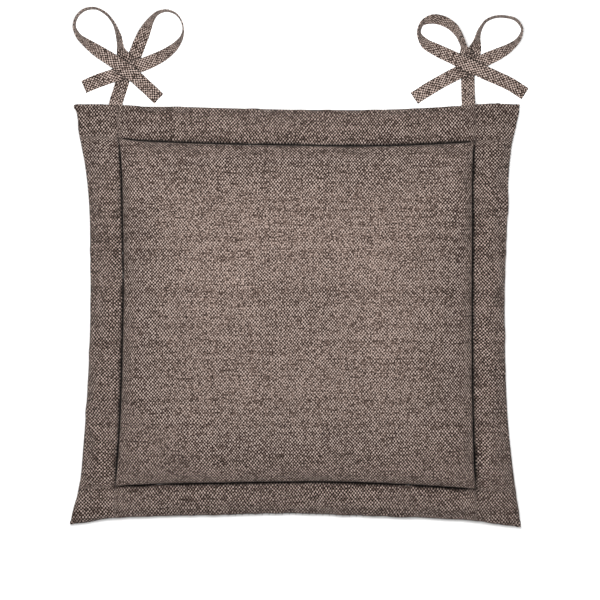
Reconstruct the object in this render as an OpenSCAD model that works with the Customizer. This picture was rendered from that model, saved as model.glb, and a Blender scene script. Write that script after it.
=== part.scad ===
// Box-quilted chair seat cushion with a foam panel, a wadded border and two bow ties.
// Millimetres. The cushion lies on z = 0, and +Y points to the back edge with the ties.

/* [Cushion] */
// Width between the corner points of the edge
pad_w = 400; // [380:1:420]
// Depth between the corner points of the edge
pad_d = 375; // [360:1:395]
// Height of the middle of the cushion
pad_h = 30; // [28:1:34]
// How far the left and right sides pull in between the corners
side_bow = 14.5; // [8:0.5:18]
// How far the back side pulls in between the corners
back_bow = 5.5; // [3:0.5:8]
// How far the front side pulls in between the corners
front_bow = 9; // [5:0.5:12]
// Height of the edge seam
rim_z = 7.5; // [7:0.5:9]
// Thickness of the cover fabric
fabric_t = 0.8; // [0.6:0.1:1]

/* [Quilted panel] */
// Distance from the stitched line to the edge at the corners, across the width
border_x = 40; // [36:1:44]
// Distance from the stitched line to the edge at the corners, across the depth
border_y = 32; // [30:1:36]
// How far the stitched line pulls in between its corners
panel_bow = 5.5; // [3:0.5:7]
// Height of the stitched line on the top cover
groove_top_z = 13.5; // [13:0.5:15]
// Height of the stitched line on the bottom cover
groove_low_z = 9; // [8:0.5:10]
// How far the border swells above a straight slope
border_swell = 5; // [3:0.5:6]
// How far the border sags below a straight slope
border_sag = 7.6; // [6:0.1:8]

/* [Filling] */
// Width of the foam slab
foam_w = 286; // [280:1:288]
// Depth of the foam slab
foam_d = 276; // [270:1:278]
// Thickness of the foam slab
foam_h = 20; // [18:0.5:20]
// Radius of the slab's upright corners
foam_corner_r = 12; // [5:1:20]

/* [Ties] */
// Width of the tie tape
tape_w = 12; // [10:0.5:12]
// Thickness of the tie tape
tape_t = 1.2; // [0.8:0.1:1.2]
// Place of the left tie along the back seam
left_tie_x = -161; // [-165:1:-155]
// Place of the right tie along the back seam
right_tie_x = 154; // [150:1:160]
// Length of tape held inside the seam
tape_held = 9; // [6:0.5:9]

/* [Thread] */
// Diameter of the quilting thread
quilt_thread_d = 0.6; // [0.4:0.1:0.8]
// Thickness of the seam thread
seam_thread_t = 0.4; // [0.3:0.1:0.4]
// Length of the hand-closed opening in the front seam
closing_w = 120; // [80:10:160]

/* [Hidden] */
$fn = 48;

linen = "#84736b";
linen_light = "#93847b";
wadding_white = "#f2f0ea";
foam_cream = "#efe3b8";
thread_brown = "#3b302b";

// Plan outline: each side runs between two corners and bows in by a power of its length.
edge_power = 2.6;
panel_power = 2;
panel_w = pad_w - 2 * border_x;
panel_d = pad_d - 2 * border_y;
side_n = 12;
side_stops = [for (i = [0:side_n - 1]) sin(-90 + 180 * i / side_n)];

// The seam opens round each tape by slit_lift above and below, between these stops.
slit_lift = tape_t + 0.1;
slit_out = 17;
slit_in = 6.5;
slit_end = 3.5;
function slit_stops(tie_x) =
    let (s = sign(tie_x), inner = s * (abs(tie_x) - slit_in), outer = s * (abs(tie_x) + slit_out),
         ends = [inner - s * slit_end, inner, outer, outer + s * slit_end])
    [for (k = [0:3]) ends[s > 0 ? k : 3 - k] * 2 / pad_w];
back_middle = [-0.62, -0.45, -0.23, 0, 0.23, 0.45, 0.6];
back_stops = concat([-1, -0.965], slit_stops(left_tie_x), back_middle,
                    slit_stops(right_tie_x), [0.965]);

// One ring: side number and place along the side, from -1 to 1. The back side comes first.
ring_stops = concat([for (t = back_stops) [0, t]],
                    [for (side = [1:3]) for (t = side_stops) [side, t]]);
ring_n = len(ring_stops);

function side_curve(half_w, half_d, bows, power, side, t) =
    let (in = bows[side] * (1 - pow(abs(t), power)))
    side == 0 ? [t * half_w, half_d - in] :
    side == 1 ? [half_w - in, -t * half_d] :
    side == 2 ? [-t * half_w, in - half_d] : [in - half_w, t * half_d];
function edge_point(side, t) =
    side_curve(pad_w / 2, pad_d / 2, [back_bow, side_bow, front_bow, side_bow],
               edge_power, side, t);
function panel_point(side, t) =
    side_curve(panel_w / 2, panel_d / 2, [panel_bow, panel_bow, panel_bow, panel_bow],
               panel_power, side, t);

// Station f is 0 at the centre, 1 on the stitched line and 2 on the edge seam.
function plan_point(f, stop) =
    let (p = panel_point(stop[0], stop[1]), e = edge_point(stop[0], stop[1]))
    f <= 1 ? p * f : p + (e - p) * (f - 1);

// 1 at the two inner slit stops of each tie, 0 elsewhere
function at_slit(stop) =
    stop[0] != 0 ? 0 :
    len([for (x = [left_tie_x, right_tie_x]) for (k = [1:2])
         if (abs(slit_stops(x)[k] - stop[1]) < 0.0001) 1]) > 0 ? 1 : 0;
function lift(f, stop) = slit_lift * at_slit(stop) * max(0, min(1, (f - 1.3) / 0.4));

// Heights of the outer faces of the covers at station f
rest_f = 0.88;
function top_z(f) =
    f <= 1 ? groove_top_z + (pad_h - groove_top_z) * sqrt(1 - pow(f, 24)) :
    groove_top_z + (rim_z - groove_top_z) * pow(f - 1, 2)
        + border_swell * pow(abs(sin(180 * (f - 1))), 0.7);
function low_z(f) =
    f <= rest_f ? 0 :
    f <= 1 ? groove_low_z * (1 - sqrt(1 - pow((f - rest_f) / (1 - rest_f), 3))) :
    groove_low_z + (rim_z - groove_low_z) * pow(f - 1, 2)
        - border_sag * pow(abs(sin(180 * (f - 1))), 0.7);

// A closed ring-shaped solid from a profile of [station, height, side of the seam].
// The side is 1 above the seam and -1 below it. Poles close the solid at the centre.
module ring_solid(profile, poles) {
    m = len(profile);
    points = concat([for (p = profile) for (s = ring_stops)
                     let (q = plan_point(p[0], s)) [q[0], q[1], p[1] + p[2] * lift(p[0], s)]],
                    [for (z = poles) [0, 0, z]]);
    last = len(poles) > 0 ? m - 2 : m - 1;
    skin = [for (k = [0:last]) for (i = [0:ring_n - 1])
            let (a = k * ring_n + i, b = k * ring_n + (i + 1) % ring_n,
                 next = ((k + 1) % m - k) * ring_n)
            each [[a, b, b + next], [a, b + next, a + next]]];
    caps = len(poles) == 0 ? [] :
        [for (i = [0:ring_n - 1]) let (j = (i + 1) % ring_n, top = (m - 1) * ring_n)
         each [[i, m * ring_n, j], [top + j, m * ring_n + 1, top + i]]];
    polyhedron(points, concat(skin, caps), convexity = 6);
}

// Stations of the profiles
outer_f = [0.6, rest_f, 0.95, 0.985, 1, 1.06, 1.2, 1.45, 1.7, 1.87, 1.96, 2];
inner_f = [1.93, 1.86, 1.7, 1.45, 1.2, 1.06, 1, 0.985, 0.95, rest_f, 0.6];
wadding_f = [0.6, rest_f, 0.95, 0.985, 1, 1.2, 1.45, 1.7, 1.86];
allowance_f = 1.72;
inner_shrink = 0.995;
seam_gap = 0.05;
layer_gap = 0.1;

// Faces inside the covers: offset by the fabric, and by a little more on the border's slope
function inside_top(f) =
    f <= 1 ? top_z(min(1, f / inner_shrink)) - fabric_t : top_z(f) - 1.5 * fabric_t;
function inside_low(f) =
    f <= 1 ? low_z(min(1, f / inner_shrink)) + fabric_t : low_z(f) + 1.5 * fabric_t;

module cover(s) {
    seam_z = rim_z + s * seam_gap;
    outer = [for (f = outer_f) [f, f == 2 ? seam_z : (s > 0 ? top_z(f) : low_z(f)), s]];
    allowance = [[allowance_f, seam_z, s], [allowance_f, seam_z + s * fabric_t, s],
                 [inner_f[0], seam_z + s * fabric_t, s]];
    inner = [for (f = inner_f) [f, s > 0 ? inside_top(f) : inside_low(f), s]];
    ring_solid(concat(outer, allowance, inner),
               s > 0 ? [pad_h, pad_h - fabric_t] : [0, fabric_t]);
}

module top_cover() { color(linen) cover(1); }

module bottom_cover() { color(linen) cover(-1); }

// Wadding lies against its cover, wraps the foam and runs out between the seam allowances.
thread_room = 0.5;
middle_z = (groove_top_z + groove_low_z) / 2;
foam_z = (pad_h - foam_h) / 2;
wall_low_f = 0.94;
wall_high_f = 0.935;
skin_follows = 0.3; // share of the slit's opening that the wadding's skin follows
module wadding(s) {
    allowance_z = rim_z + s * (seam_gap + fabric_t + thread_room);
    skin = [for (f = wadding_f)
            [f, s > 0 ? inside_top(f) - layer_gap : inside_low(f) + layer_gap, s * skin_follows]];
    inner = [[1.86, allowance_z, s], [1.7, allowance_z, s],
             [1.66, rim_z + s * layer_gap, s], [1.3, middle_z - 1.3 + s * layer_gap, s],
             [1, middle_z + s * layer_gap, s], [0.975, middle_z + 1 + s * layer_gap, s],
             [wall_low_f, middle_z + 3.5 + s * layer_gap, s],
             [wall_high_f, s > 0 ? foam_z + foam_h + layer_gap : foam_z - layer_gap, s]];
    ring_solid(concat(skin, inner),
               s > 0 ? [pad_h - fabric_t - layer_gap, foam_z + foam_h + layer_gap]
                     : [fabric_t + layer_gap, foam_z - layer_gap]);
}

module top_wadding() { color(wadding_white) wadding(1); }

module bottom_wadding() { color(wadding_white) wadding(-1); }

module foam_core() {
    x = foam_w / 2 - foam_corner_r;
    y = foam_d / 2 - foam_corner_r;
    color(foam_cream) translate([0, 0, foam_z]) linear_extrude(foam_h) union() {
        square([foam_w, 2 * y], center = true);
        square([2 * x, foam_d], center = true);
        for (sx = [-1, 1]) for (sy = [-1, 1]) translate([sx * x, sy * y]) circle(foam_corner_r);
    }
}

// A thread that follows the outline: a closed tube of four or six sides
module ring_thread(f, z, d, sides, s) {
    station = d / (2 * border_y);
    ring_solid([for (k = [0:sides - 1])
                let (a = -360 * k / sides) [f + station * cos(a), z + d / 2 * sin(a), s]], []);
}

module quilting_needle_thread() {
    color(thread_brown)
        ring_thread(1.012, groove_top_z + 1.25 * quilt_thread_d, quilt_thread_d, 6, 1);
}

module quilting_bobbin_thread() {
    color(thread_brown)
        ring_thread(1.01, groove_low_z - 1.6 * quilt_thread_d, quilt_thread_d, 6, -1);
}

seam_thread_f = 1.84;
module seam_thread(s) {
    z = rim_z + s * (seam_gap + fabric_t + seam_thread_t / 2 + 0.05);
    color(thread_brown) ring_thread(seam_thread_f, z, seam_thread_t, 4, s);
}

module edge_seam_needle_thread() { seam_thread(1); }

module edge_seam_bobbin_thread() { seam_thread(-1); }

// Upright ladder stitches across the front seam
closing_pitch = 6;
closing_d = 0.6;
closing_h = 1.6;
module closing_stitches() {
    n = floor(closing_w / closing_pitch);
    color(thread_brown) for (i = [0:n]) {
        x = (i - n / 2) * closing_pitch;
        y = edge_point(2, -2 * x / pad_w)[1];
        translate([x, y - closing_d / 2 - 0.3, rim_z - closing_h / 2])
            cylinder(d = closing_d, h = closing_h);
    }
}

function back_edge_y(x) = edge_point(0, 2 * x / pad_w)[1];
anchor_proud = 0.4;

// The folded end of the tape in the seam: two layers joined at the inner end
module tie_anchor(tie_x) {
    y1 = back_edge_y(tie_x) + anchor_proud;
    y0 = y1 - anchor_proud - tape_held;
    gap = 0.1;
    h = 2 * tape_t + gap;
    color(linen_light) translate([tie_x - tape_w / 2, 0, rim_z - h / 2]) difference() {
        translate([0, y0, 0]) cube([tape_w, y1 - y0, h]);
        translate([-1, y0 + tape_t, tape_t]) cube([tape_w + 2, y1 - y0, gap]);
    }
}

module left_tie_anchor() { tie_anchor(left_tie_x); }

module right_tie_anchor() { tie_anchor(right_tie_x); }

// A short row of locking stitches over the seam allowance above the tape
bartack_w = 10;
bartack_d = 1.5;
module tie_bartack(tie_x) {
    z = rim_z + slit_lift + seam_gap + fabric_t + 0.05;
    color(thread_brown)
        translate([tie_x - bartack_w / 2, back_edge_y(tie_x) - 7.5, z])
        cube([bartack_w, bartack_d, seam_thread_t - 0.05]);
}

module left_tie_bartack() { tie_bartack(left_tie_x); }

module right_tie_bartack() { tie_bartack(right_tie_x); }

// Tape along a route of [x, y, z, tilt]: tilt 0 and 180 lie flat, 90 stands on edge.
tape_bevel = 0.35;
tape_section = let (w = tape_w / 2, t = tape_t / 2)
    [[w, t - tape_bevel], [w - tape_bevel, t], [tape_bevel - w, t], [-w, t - tape_bevel],
     [-w, tape_bevel - t], [tape_bevel - w, -t], [w - tape_bevel, -t], [w, tape_bevel - t]];
function spot(p) = [p[0], p[1], p[2]];
function unit(v) = v / norm(v);
module tape(route) {
    n = len(route);
    m = len(tape_section);
    points = [for (i = [0:n - 1])
        let (along = unit(spot(route[min(i + 1, n - 1)]) - spot(route[max(i - 1, 0)])),
             level = unit(cross([0, 0, 1], along)), up = cross(along, level), tilt = route[i][3],
             wide = cos(tilt) * level + sin(tilt) * up, thick = cos(tilt) * up - sin(tilt) * level)
        for (q = tape_section) spot(route[i]) + q[0] * wide + q[1] * thick];
    skin = [for (i = [0:n - 2]) for (k = [0:m - 1])
            let (a = i * m + k, b = i * m + (k + 1) % m) each [[a, a + m, b + m], [a, b + m, b]]];
    polyhedron(points, concat([[for (k = [0:m - 1]) k]], skin,
                              [[for (k = [m - 1:-1:0]) (n - 1) * m + k]]), convexity = 8);
}

// Routes of the four straps. Each leaves the seam, crosses the knot, runs round its loop,
// crosses the knot again and ends in a tail.
left_upper = [
    [-161, 187, 8.2, 180], [-160, 192, 6.7, 180], [-158, 199, 3.5, 180], [-156, 206, 2.1, 180],
    [-154, 213, 2, 180], [-152.5, 220, 2, 180], [-153, 227, 2.2, 180], [-154.3, 231, 3.2, 164],
    [-156, 235, 4.8, 135], [-158.5, 248, 5.6, 115], [-163, 260, 6.1, 100], [-170, 268.5, 6.1, 95],
    [-179, 273, 6.1, 90], [-188.5, 272, 6.1, 90], [-195.5, 266, 6.1, 90], [-198, 257.5, 6.1, 95],
    [-194.5, 249, 5.8, 110], [-186, 241.5, 4.8, 135], [-176, 234.5, 3, 160], [-165, 227.5, 4.7, 177],
    [-153, 219, 4.8, 180], [-142.5, 211, 4.8, 180], [-133, 202.5, 2.2, 180], [-123, 193, 0.7, 180]];
left_lower = [
    [-161, 187, 6.8, 0], [-160, 192, 5.3, 0], [-158, 199, 2.1, 0], [-156, 206, 0.7, 0],
    [-154, 213, 0.6, 0], [-151.5, 219.5, 0.6, 0], [-148, 225.5, 0.6, 0], [-144.5, 231.5, 0.8, 1],
    [-140, 242, 2.4, 18], [-135, 253, 4.2, 38], [-130, 262, 5.8, 68], [-123.5, 269, 6.1, 85],
    [-114.5, 271, 6.1, 90], [-106.5, 267.5, 6.1, 90], [-101.5, 259.5, 6.1, 90], [-101.5, 249.5, 6, 78],
    [-107.5, 240, 5, 52], [-118, 232, 3.6, 28], [-131, 225.5, 3.4, 8], [-143, 220.8, 3.4, 0],
    [-154, 216.4, 3.4, 0], [-166, 212.4, 3.3, 0], [-178, 208.5, 1.3, 0], [-190, 203.5, 0.6, 0]];
right_upper = [
    [154, 187, 8.2, 180], [154, 192, 6.7, 180], [154, 199, 3.5, 180], [154, 206, 2.1, 180],
    [154, 214, 2, 180], [154, 222, 2, 180], [153.5, 229, 2, 179], [152.4, 232.3, 3.6, 163],
    [151, 236, 5.2, 125], [147.5, 246, 5.8, 112], [141, 256, 5.4, 122], [131.5, 262, 5, 128],
    [121, 263.5, 5.2, 125], [112.5, 259.5, 5.9, 105], [110, 251, 5.8, 108], [115, 242.5, 4.4, 140],
    [126, 236.3, 2.8, 162], [140, 229.5, 4.2, 177], [154, 222.5, 4.8, 180], [166, 217, 5.1, 180],
    [178, 212, 3.2, 180], [192, 205.8, 0.7, 180], [205, 197.5, 0.7, 180]];
right_lower = [
    [154, 187, 6.8, 0], [154, 192, 5.3, 0], [154, 199, 2.1, 0], [154, 206, 0.7, 0],
    [154, 214, 0.6, 0], [155, 222, 0.6, 0], [157.5, 229, 0.6, 0], [159.5, 234, 1.05, 4],
    [160.3, 238.2, 2.7, 24], [161.5, 243, 4.9, 52], [164.5, 254, 5.9, 75], [170, 262, 6.1, 85],
    [178.5, 265.5, 6.1, 88], [188, 265.5, 6.1, 90], [197, 262.5, 6.1, 90], [202, 255, 6.1, 90],
    [199.5, 246.5, 5.9, 76], [190.5, 238, 4.9, 50], [180, 232.3, 3.4, 22], [169, 227.3, 3.4, 0],
    [156, 221.3, 3.4, 0], [143, 214.8, 3.3, 0], [130, 208, 1.5, 0], [118, 201, 0.6, 0],
    [106, 193.3, 0.6, 0]];

module left_tie_upper_strap() { color(linen_light) tape(left_upper); }

module left_tie_lower_strap() { color(linen_light) tape(left_lower); }

module right_tie_upper_strap() { color(linen_light) tape(right_upper); }

module right_tie_lower_strap() { color(linen_light) tape(right_lower); }

top_cover();
bottom_cover();
top_wadding();
bottom_wadding();
foam_core();
quilting_needle_thread();
quilting_bobbin_thread();
edge_seam_needle_thread();
edge_seam_bobbin_thread();
closing_stitches();
left_tie_anchor();
right_tie_anchor();
left_tie_bartack();
right_tie_bartack();
left_tie_upper_strap();
left_tie_lower_strap();
right_tie_upper_strap();
right_tie_lower_strap();
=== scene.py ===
"""Looks of a quilted seat cushion with two bow ties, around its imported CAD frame.

Everything is in metres, with +Z up and +Y towards the back edge that carries the ties.
"""
import math

import bpy
import numpy as np
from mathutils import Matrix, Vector, noise


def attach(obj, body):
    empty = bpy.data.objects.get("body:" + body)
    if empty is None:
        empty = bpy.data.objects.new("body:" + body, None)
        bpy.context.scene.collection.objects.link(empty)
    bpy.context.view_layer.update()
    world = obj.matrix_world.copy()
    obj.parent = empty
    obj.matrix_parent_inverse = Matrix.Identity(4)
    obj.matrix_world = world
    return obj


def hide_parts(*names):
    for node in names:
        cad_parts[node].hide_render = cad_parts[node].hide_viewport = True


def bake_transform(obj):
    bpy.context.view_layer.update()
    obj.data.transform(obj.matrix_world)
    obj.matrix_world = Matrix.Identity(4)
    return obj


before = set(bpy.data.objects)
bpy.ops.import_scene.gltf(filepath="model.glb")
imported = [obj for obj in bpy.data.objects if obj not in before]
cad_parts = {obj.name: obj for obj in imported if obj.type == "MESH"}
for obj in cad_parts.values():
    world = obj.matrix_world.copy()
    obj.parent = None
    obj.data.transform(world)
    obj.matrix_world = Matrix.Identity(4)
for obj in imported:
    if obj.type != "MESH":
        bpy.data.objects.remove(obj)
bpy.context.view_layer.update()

MM = 0.001

# ---------------------------------------------------------------- camera

VIEW_WIDTH = 0.5358  # width of the picture at the height of the edge seam
VIEW_CENTRE = (0.0036, 0.0125)
LENS = 135.0
SENSOR = 36.0
SEAM_Z = 7.5 * MM


def make_camera():
    data = bpy.data.cameras.new("camera")
    data.lens = LENS
    data.sensor_width = SENSOR
    data.clip_end = 10
    camera = bpy.data.objects.new("camera", data)
    bpy.context.collection.objects.link(camera)
    distance = VIEW_WIDTH * LENS / SENSOR
    camera.location = (*VIEW_CENTRE, SEAM_Z + distance)
    bpy.context.scene.camera = camera


make_camera()

# ---------------------------------------------------------------- ties

TAPE_W = 12.0 * MM
TAPE_T = 1.2 * MM
TAPE_STEP = 0.75 * MM  # between the sections of a strap
ROOT_Y = 3.5 * MM  # how far a strap starts inside the edge
FRAY = 0.9 * MM  # how unevenly the cut end is cut
TAPE_SWELL = 0.03  # change of width along a strap, as a share
TAPE_RAGGED = 0.035  # the same for each edge by itself, over single yarns
TAPE_RIPPLE = 0.10 * MM
LOW_FACE_SHIFT = 0.031  # puts another part of the weave on the low face
STRAP_SHIFT = 0.37  # and on each strap
TAPE_LEAST_Z = 0.05 * MM
# Painted shadow on a strand beside a strand crossing over it: its reach, its depth, and the heights
# at which it falls
OVERLAP_REACH = 1.3 * MM
OVERLAP_SHADOW = 0.75
OVERLAP_GAP = (0.3 * MM, 4.5 * MM)  # how far above a strand another one may cross it
ROOT_LENGTH = 32.0 * MM  # both straps lie on each other this far

# The routes of part.scad, in metres: x, y, z and tilt (0 and 180 flat, 90 on edge).
LEFT_UPPER = [
    (-0.161, 0.187, 0.0082, 180), (-0.16, 0.192, 0.0067, 180), (-0.158, 0.199, 0.0035, 180),
    (-0.156, 0.206, 0.0021, 180), (-0.154, 0.213, 0.002, 180), (-0.1525, 0.22, 0.002, 180),
    (-0.153, 0.227, 0.0022, 180), (-0.1543, 0.231, 0.0032, 164), (-0.156, 0.235, 0.0048, 135),
    (-0.1585, 0.248, 0.0056, 115), (-0.163, 0.26, 0.0061, 100), (-0.17, 0.2685, 0.0061, 95),
    (-0.179, 0.273, 0.0061, 90), (-0.1885, 0.272, 0.0061, 90), (-0.1955, 0.266, 0.0061, 90),
    (-0.198, 0.2575, 0.0061, 95), (-0.1945, 0.249, 0.0058, 110), (-0.186, 0.2415, 0.0048, 135),
    (-0.176, 0.2345, 0.003, 160), (-0.165, 0.2275, 0.0047, 177), (-0.153, 0.219, 0.0048, 180),
    (-0.1425, 0.211, 0.0048, 180), (-0.133, 0.2025, 0.0022, 180), (-0.123, 0.193, 0.0007, 180)]
LEFT_LOWER = [
    (-0.161, 0.187, 0.0068, 0), (-0.16, 0.192, 0.0053, 0), (-0.158, 0.199, 0.0021, 0),
    (-0.156, 0.206, 0.0007, 0), (-0.154, 0.213, 0.0006, 0), (-0.1515, 0.2195, 0.0006, 0),
    (-0.148, 0.2255, 0.0006, 0), (-0.1445, 0.2315, 0.0008, 1), (-0.14, 0.242, 0.0024, 18),
    (-0.135, 0.253, 0.0042, 38), (-0.13, 0.262, 0.0058, 68), (-0.1235, 0.269, 0.0061, 85),
    (-0.1145, 0.271, 0.0061, 90), (-0.1065, 0.2675, 0.0061, 90), (-0.1015, 0.2595, 0.0061, 90),
    (-0.1015, 0.2495, 0.006, 78), (-0.1075, 0.24, 0.005, 52), (-0.118, 0.232, 0.0036, 28),
    (-0.131, 0.2255, 0.0034, 8), (-0.143, 0.2208, 0.0034, 0), (-0.154, 0.2164, 0.0034, 0),
    (-0.166, 0.2124, 0.0033, 0), (-0.178, 0.2085, 0.0013, 0), (-0.19, 0.2035, 0.0006, 0)]
RIGHT_UPPER = [
    (0.154, 0.187, 0.0082, 180), (0.154, 0.192, 0.0067, 180), (0.154, 0.199, 0.0035, 180),
    (0.154, 0.206, 0.0021, 180), (0.154, 0.214, 0.002, 180), (0.154, 0.222, 0.002, 180),
    (0.1535, 0.229, 0.002, 179), (0.1524, 0.2323, 0.0036, 163), (0.151, 0.236, 0.0052, 125),
    (0.1475, 0.246, 0.0058, 112), (0.141, 0.256, 0.0054, 122), (0.1315, 0.262, 0.005, 128),
    (0.121, 0.2635, 0.0052, 125), (0.1125, 0.2595, 0.0059, 105), (0.11, 0.251, 0.0058, 108),
    (0.115, 0.2425, 0.0044, 140), (0.126, 0.2363, 0.0028, 162), (0.14, 0.2295, 0.0042, 177),
    (0.154, 0.2225, 0.0048, 180), (0.166, 0.217, 0.0051, 180), (0.178, 0.212, 0.0032, 180),
    (0.192, 0.2058, 0.0007, 180), (0.205, 0.1975, 0.0007, 180)]
RIGHT_LOWER = [
    (0.154, 0.187, 0.0068, 0), (0.154, 0.192, 0.0053, 0), (0.154, 0.199, 0.0021, 0),
    (0.154, 0.206, 0.0007, 0), (0.154, 0.214, 0.0006, 0), (0.155, 0.222, 0.0006, 0),
    (0.1575, 0.229, 0.0006, 0), (0.1595, 0.234, 0.00105, 4), (0.1603, 0.2382, 0.0027, 24),
    (0.1615, 0.243, 0.0049, 52), (0.1645, 0.254, 0.0059, 75), (0.17, 0.262, 0.0061, 85),
    (0.1785, 0.2655, 0.0061, 88), (0.188, 0.2655, 0.0061, 90), (0.197, 0.2625, 0.0061, 90),
    (0.202, 0.255, 0.0061, 90), (0.1995, 0.2465, 0.0059, 76), (0.1905, 0.238, 0.0049, 50),
    (0.18, 0.2323, 0.0034, 22), (0.169, 0.2273, 0.0034, 0), (0.156, 0.2213, 0.0034, 0),
    (0.143, 0.2148, 0.0033, 0), (0.13, 0.208, 0.0015, 0), (0.118, 0.201, 0.0006, 0),
    (0.106, 0.1933, 0.0006, 0)]


def new_object(name, points, faces, weave=None, shade=None):
    """A mesh object, with its place on the cloth as 'weave' and its painted shade as 'shade'."""
    mesh = bpy.data.meshes.new(name)
    mesh.from_pydata([tuple(p) for p in points], [], [tuple(f) for f in faces])
    mesh.update()
    if weave is not None:
        layer = mesh.attributes.new("weave", "FLOAT_VECTOR", "POINT")
        layer.data.foreach_set("vector", np.asarray(weave, np.float32).ravel())
        layer = mesh.attributes.new("shade", "FLOAT", "POINT")
        shade = np.ones(len(points)) if shade is None else shade
        layer.data.foreach_set("value", np.asarray(shade, np.float32).ravel())
    for polygon in mesh.polygons:
        polygon.use_smooth = True
    piece = bpy.data.objects.new(name, mesh)
    bpy.context.collection.objects.link(piece)
    return piece


def travelled(points):
    """How far along a line of points each one lies."""
    return np.concatenate([[0], np.cumsum(np.linalg.norm(np.diff(points, axis=0), axis=1))])


def through_points(route, step):
    """Even steps along a smooth curve through the route's points."""
    route = np.asarray(route, float)
    at = travelled(route[:, :3])
    slope = np.gradient(route, at, axis=0)
    count = int(round(at[-1] / step)) + 1
    s = np.linspace(0, at[-1], count)
    k = np.clip(np.searchsorted(at, s, side="right") - 1, 0, len(at) - 2)
    h = (at[k + 1] - at[k])[:, None]
    t = (s - at[k])[:, None] / h
    return ((1 + 2 * t) * (1 - t) ** 2 * route[k] + t * (1 - t) ** 2 * h * slope[k]
            + t ** 2 * (3 - 2 * t) * route[k + 1] + t ** 2 * (t - 1) * h * slope[k + 1])


def tape_section():
    """The outline of the flattened tape. Its edges are folds, so they are round."""
    w, t = TAPE_W / 2, TAPE_T / 2
    top = [(w * x, t * (1 - 0.10 * x * x)) for x in np.linspace(0.94, -0.94, 17)]
    side = [(-w * 0.985, t * 0.62), (-w, 0), (-w * 0.985, -t * 0.62)]
    low = [(x, -z) for x, z in reversed(top)]
    other = [(w * 0.985, -t * 0.62), (w, 0), (w * 0.985, t * 0.62)]
    return top + side + low + other


def skin_faces(count, sides):
    """Faces of a closed skin over this many sections of this many sides."""
    faces = [(i * sides + k, i * sides + (k + 1) % sides, (i + 1) * sides + (k + 1) % sides,
              (i + 1) * sides + k) for i in range(count - 1) for k in range(sides)]
    last = (count - 1) * sides
    return faces + [tuple(range(sides - 1, -1, -1)), tuple(last + k for k in range(sides))]


def strap_line(route):
    """Even steps along a strap: x, y, z and tilt, starting inside the seam."""
    x, y, z, tilt = route[0]
    return through_points([(x - 0.0004, y - ROOT_Y, z, tilt)] + list(route), TAPE_STEP)


def painted_overlap_shadow(points, own, lines):
    """Painted shadow: darker on a strand right beside the edge of a strand that crosses over it."""
    points = np.asarray(points)
    shadow_share = np.zeros(len(points))
    section = np.arange(len(points)) * len(lines[own]) // len(points)
    for number, line in enumerate(lines):
        for i in range(0, len(line), 2):
            x, y, z, tilt = line[i]
            half = TAPE_W / 2 * abs(math.cos(math.radians(tilt))) + TAPE_T / 2
            beside = np.hypot(points[:, 0] - x, points[:, 1] - y) - half
            dark = np.exp(-np.clip(beside / OVERLAP_REACH, 0, None) ** 2)
            above = z - points[:, 2]
            dark *= (above > OVERLAP_GAP[0]) * (above < OVERLAP_GAP[1])
            if number == own:
                dark *= np.abs(section - i) * TAPE_STEP > 2.5 * TAPE_W
            elif i * TAPE_STEP < ROOT_LENGTH:
                dark *= section * TAPE_STEP > ROOT_LENGTH
            shadow_share = np.maximum(shadow_share, dark)
    return 1 - OVERLAP_SHADOW * shadow_share


def make_strap(name, lines, own, seed):
    """A strap of folded tape along its route, from inside the seam to its frayed cut end."""
    line = lines[own]
    section = tape_section()
    along = np.gradient(line[:, :3], axis=0)
    along /= np.linalg.norm(along, axis=1)[:, None]
    level = np.cross([0, 0, 1], along)
    level /= np.linalg.norm(level, axis=1)[:, None]
    up = np.cross(along, level)
    tilt = np.radians(line[:, 3])[:, None]
    wide = np.cos(tilt) * level + np.sin(tilt) * up
    thick = np.cos(tilt) * up - np.sin(tilt) * level
    points, weave = [], []
    travel = travelled(line[:, :3])
    for i, p in enumerate(line[:, :3]):
        at = travel[i]
        swell = 1 + TAPE_SWELL * noise.noise(Vector((at / 0.011, seed, 0.5)))
        for a, b in section:
            ripple = TAPE_RIPPLE * noise.noise(Vector((at / 0.006, a / 0.004, seed + 9)))
            ragged = noise.noise(Vector((at / 0.0016, math.copysign(3, a), seed)))
            side = swell + TAPE_RAGGED * ragged
            q = p + wide[i] * a * side + thick[i] * (b + ripple)
            if i == len(line) - 1:
                q = q + along[i] * FRAY * noise.noise(Vector((a / 0.0009, b / 0.0009, seed + 4)))
            q[2] = max(q[2], TAPE_LEAST_Z)
            points.append(q)
            weave.append((a + (0 if b > 0 else LOW_FACE_SHIFT), at + STRAP_SHIFT * seed, 0))
    faces = skin_faces(len(line), len(section))
    # painted shadow where another strand crosses over this one
    shade = painted_overlap_shadow(points, own, lines)
    return new_object(name, points, faces, weave, shade), line[:, :3]


STRAPS = {
    "left_tie_upper_tape": ("left_tie", "left_tie_upper_strap", LEFT_UPPER),
    "left_tie_lower_tape": ("left_tie", "left_tie_lower_strap", LEFT_LOWER),
    "right_tie_upper_tape": ("right_tie", "right_tie_upper_strap", RIGHT_UPPER),
    "right_tie_lower_tape": ("right_tie", "right_tie_lower_strap", RIGHT_LOWER)}
straps = {}
for seed, (name, (body, node, route)) in enumerate(STRAPS.items()):
    lines = [strap_line(r) for b, _, r in STRAPS.values() if b == body]
    strap, centre_line = make_strap(name, lines, seed % 2, seed)
    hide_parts(node)
    straps[name] = (strap, body, route[0])

# ---------------------------------------------------------------- cushion outline

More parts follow.
